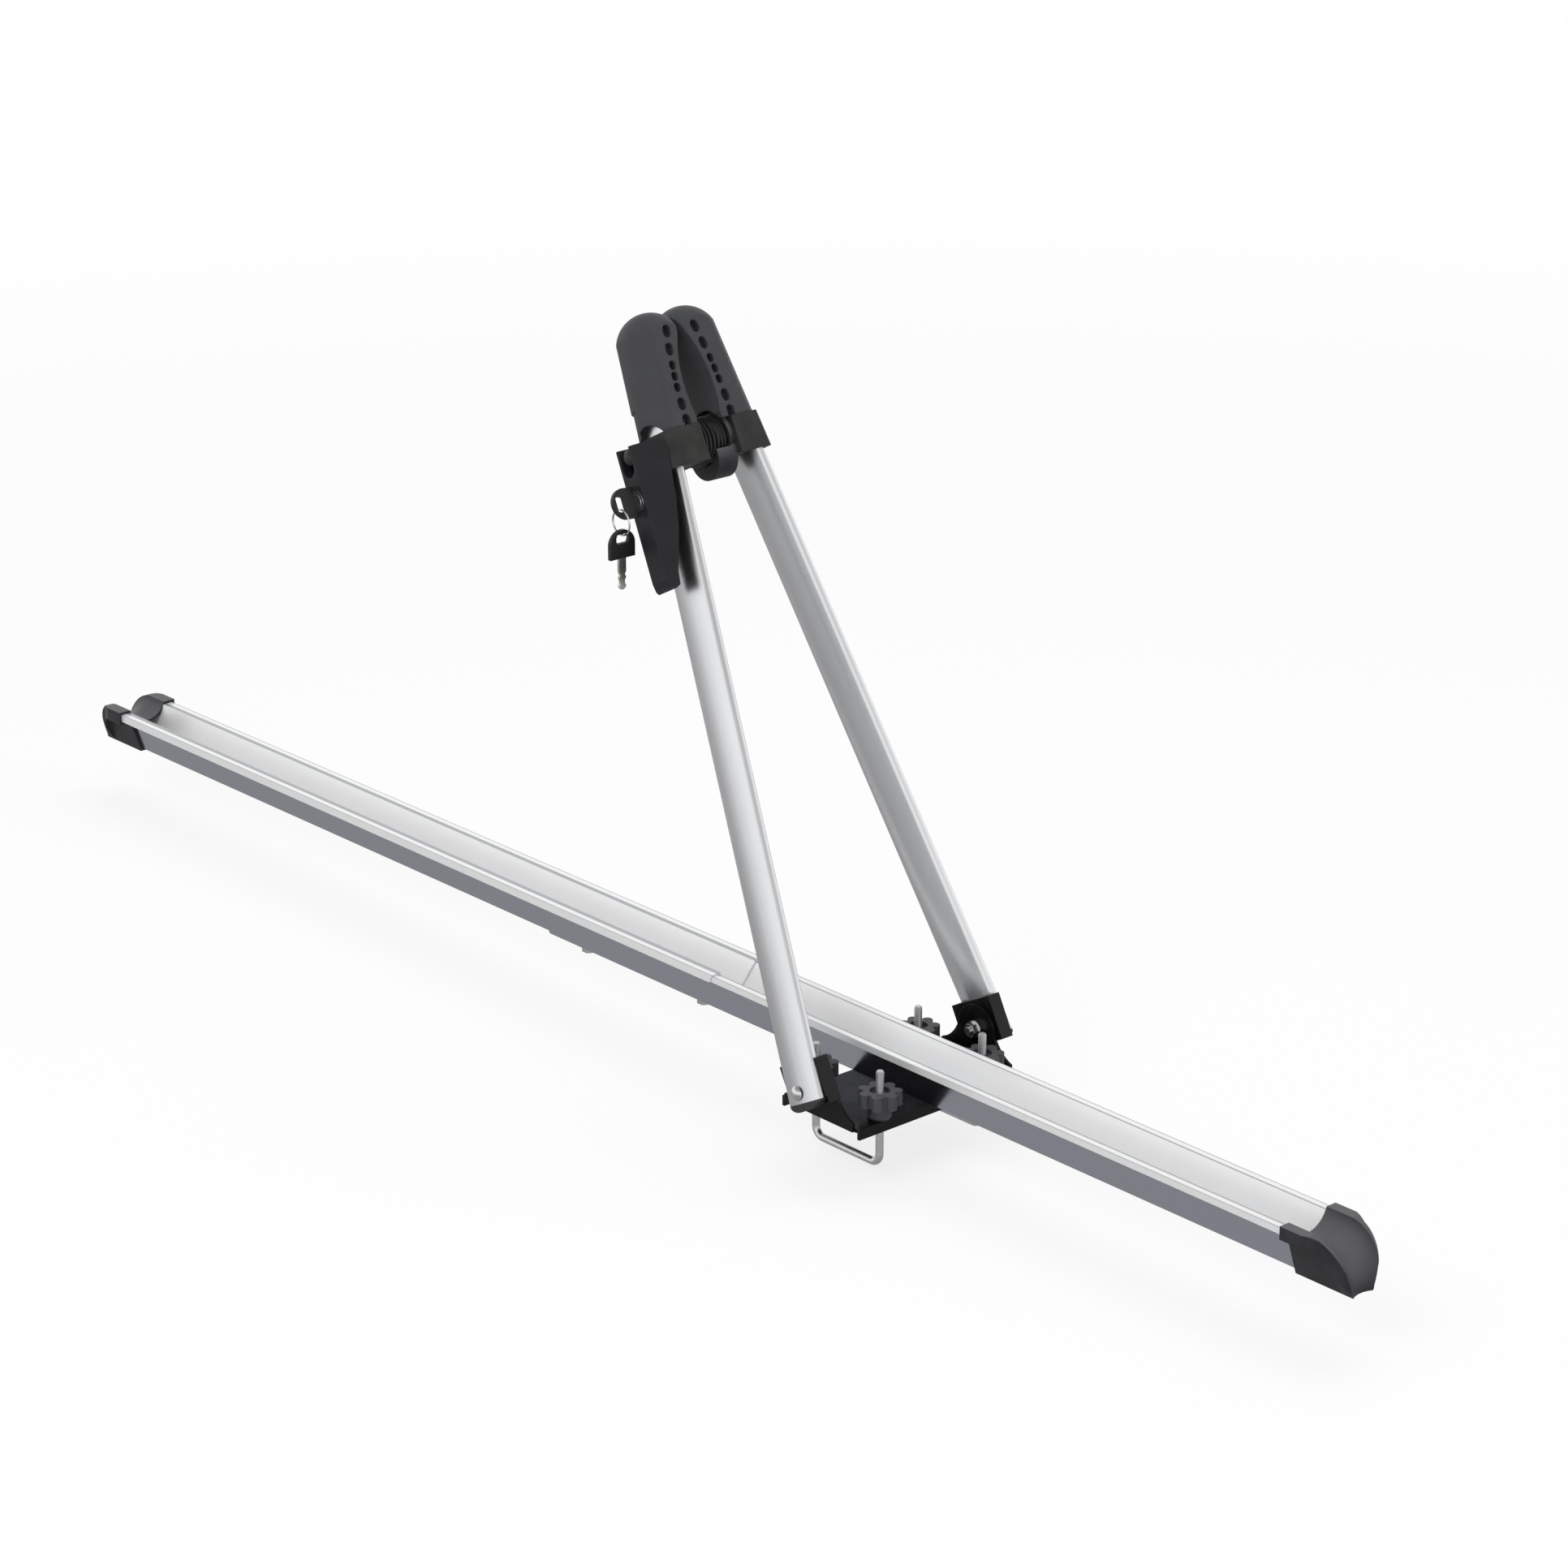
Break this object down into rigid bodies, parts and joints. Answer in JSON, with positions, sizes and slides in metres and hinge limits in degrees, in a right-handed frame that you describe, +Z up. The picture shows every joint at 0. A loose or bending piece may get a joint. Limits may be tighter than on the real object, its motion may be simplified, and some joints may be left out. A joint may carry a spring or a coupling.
{
  "type": "roof mounted bike carrier",
  "caption": "Upright bicycle carrier for a roof bar: long wheel rail, U-bolt bracket and a leaning pair of arms with padded jaws closed by a locking cam lever.",
  "frame": {"origin": "middle of the rubber strip's underside, where the carrier sits on the roof bar, under the arm pivot axis", "axes": "+X along the wheel rail towards its front end, +Y across the roof away from the lever side, +Z up"},
  "size_m": [1.4909, 0.209, 0.5775],
  "materials": {
    "anodised": "satin anodised",
    "cap_plastic": "fine grain",
    "zinc": "bright zinc",
    "black_paint": "gloss powder coat",
    "bar_rubber": "matt",
    "knob_plastic": "fine grain",
    "collar_plastic": "fine grain",
    "jaw_rubber": "matt",
    "spring_black": "black coated spring steel",
    "barrel_steel": "turned",
    "lever_plastic": "fine grain",
    "lock_chrome": "polished",
    "key_plastic": "satin"
  },
  "bodies": {
    "base": {"rear_rail": "anodised", "front_rail": "anodised", "rear_end_cap": "cap_plastic", "front_end_cap": "cap_plastic", "splice_screws": "zinc", "splice_nuts": "zinc", "base_bracket": "black_paint", "bar_pad": "bar_rubber", "rail_screws": "zinc", "rail_nuts": "zinc", "knob_washers": "zinc"},
    "yoke": {"pivot_bolts": "zinc", "pivot_nuts": "zinc", "near_saddle": "black_paint", "far_saddle": "black_paint"},
    "near_arm": {"near_tube": "anodised", "near_plug": "cap_plastic", "near_jaw": "jaw_rubber", "near_collar": "collar_plastic"},
    "far_arm": {"far_tube": "anodised", "far_plug": "cap_plastic", "far_jaw": "jaw_rubber", "far_collar": "collar_plastic", "clamp_rod": "zinc", "rod_nut": "zinc", "rod_end_nut": "collar_plastic", "spring_cup": "knob_plastic", "clamp_spring": "spring_black", "lever_barrel": "barrel_steel"},
    "lever": {"cam_lever": "lever_plastic", "lock_housing": "lock_chrome"},
    "key_set": {"lock_plug": "lock_chrome", "lock_key": "key_plastic"},
    "ring": {"key_ring": "lock_chrome"},
    "spare": {"spare_key": "key_plastic"},
    "near_loop": {"near_ubolt": "zinc"},
    "far_loop": {"far_ubolt": "zinc"},
    "near_front_star": {"near_front_knob": "knob_plastic", "near_front_insert": "zinc"},
    "near_rear_star": {"near_rear_knob": "knob_plastic", "near_rear_insert": "zinc"},
    "far_front_star": {"far_front_knob": "knob_plastic", "far_front_insert": "zinc"},
    "far_rear_star": {"far_rear_knob": "knob_plastic", "far_rear_insert": "zinc"}
  },
  "joints": [
    {"name": "arm_fold", "type": "hinge", "parent": "base", "child": "yoke", "pos_m": [0, 0, 0.0305], "axis": [0, 1, 0], "range_deg": [-54, 30]},
    {"name": "near_spread", "type": "hinge", "parent": "yoke", "child": "near_arm", "pos_m": [0, -0.093, 0.0305], "axis": [0.8854, 0, 0.4648], "range_deg": [0, 0.2452], "deforming": ["clamp_spring"]},
    {"name": "far_spread", "type": "hinge", "parent": "yoke", "child": "far_arm", "pos_m": [0, 0.093, 0.0305], "axis": [-0.8854, 0, -0.4648], "range_deg": [0, 0.2452], "deforming": ["clamp_spring"]},
    {"name": "lever_swing", "type": "hinge", "parent": "far_arm", "child": "lever", "pos_m": [-0.22173, -0.05928, 0.45283], "axis": [-0.8854, 0, -0.4648], "range_deg": [0, 90]},
    {"name": "key_turn", "type": "hinge", "parent": "lever", "child": "key_set", "pos_m": [-0.20665, -0.07099, 0.42412], "axis": [0.0243, 0.9986, -0.0463], "range_deg": [0, 90]},
    {"name": "ring_swing", "type": "hinge", "parent": "key_set", "child": "ring", "pos_m": [-0.20534, -0.08967, 0.42162], "axis": [1, 0, 0], "range_deg": [-35, 3]},
    {"name": "spare_swing", "type": "hinge", "parent": "ring", "child": "spare", "pos_m": [-0.20534, -0.08967, 0.40262], "axis": [1, 0, 0], "range_deg": [-40, 5]},
    {"name": "near_front_turn", "type": "hinge", "parent": "base", "child": "near_front_star", "pos_m": [0.0345, -0.0513, 0.02], "axis": [0, 0, -1], "range_deg": [-4330, 3610]},
    {"name": "near_rear_turn", "type": "hinge", "parent": "base", "child": "near_rear_star", "pos_m": [-0.0345, -0.0513, 0.02], "axis": [0, 0, -1], "range_deg": [-4330, 3610]},
    {"name": "near_ubolt_travel", "type": "slide", "parent": "base", "child": "near_loop", "axis": [0, 0, 1], "range_m": [-0.012, 0.01]},
    {"name": "far_front_turn", "type": "hinge", "parent": "base", "child": "far_front_star", "pos_m": [0.0345, 0.0513, 0.02], "axis": [0, 0, -1], "range_deg": [-4330, 3610]},
    {"name": "far_rear_turn", "type": "hinge", "parent": "base", "child": "far_rear_star", "pos_m": [-0.0345, 0.0513, 0.02], "axis": [0, 0, -1], "range_deg": [-4330, 3610]},
    {"name": "far_ubolt_travel", "type": "slide", "parent": "base", "child": "far_loop", "axis": [0, 0, 1], "range_m": [-0.012, 0.01]}
  ],
  "couplings": [
    {"joint": "near_spread", "follows": "lever_swing", "ratio": 0.0026692},
    {"joint": "far_spread", "follows": "lever_swing", "ratio": 0.0026692},
    {"joint": "near_front_turn", "follows": "near_ubolt_travel", "rad_per_m": 6283.2},
    {"joint": "near_rear_turn", "follows": "near_ubolt_travel", "rad_per_m": 6283.2},
    {"joint": "far_front_turn", "follows": "far_ubolt_travel", "rad_per_m": 6283.2},
    {"joint": "far_rear_turn", "follows": "far_ubolt_travel", "rad_per_m": 6283.2}
  ]
}
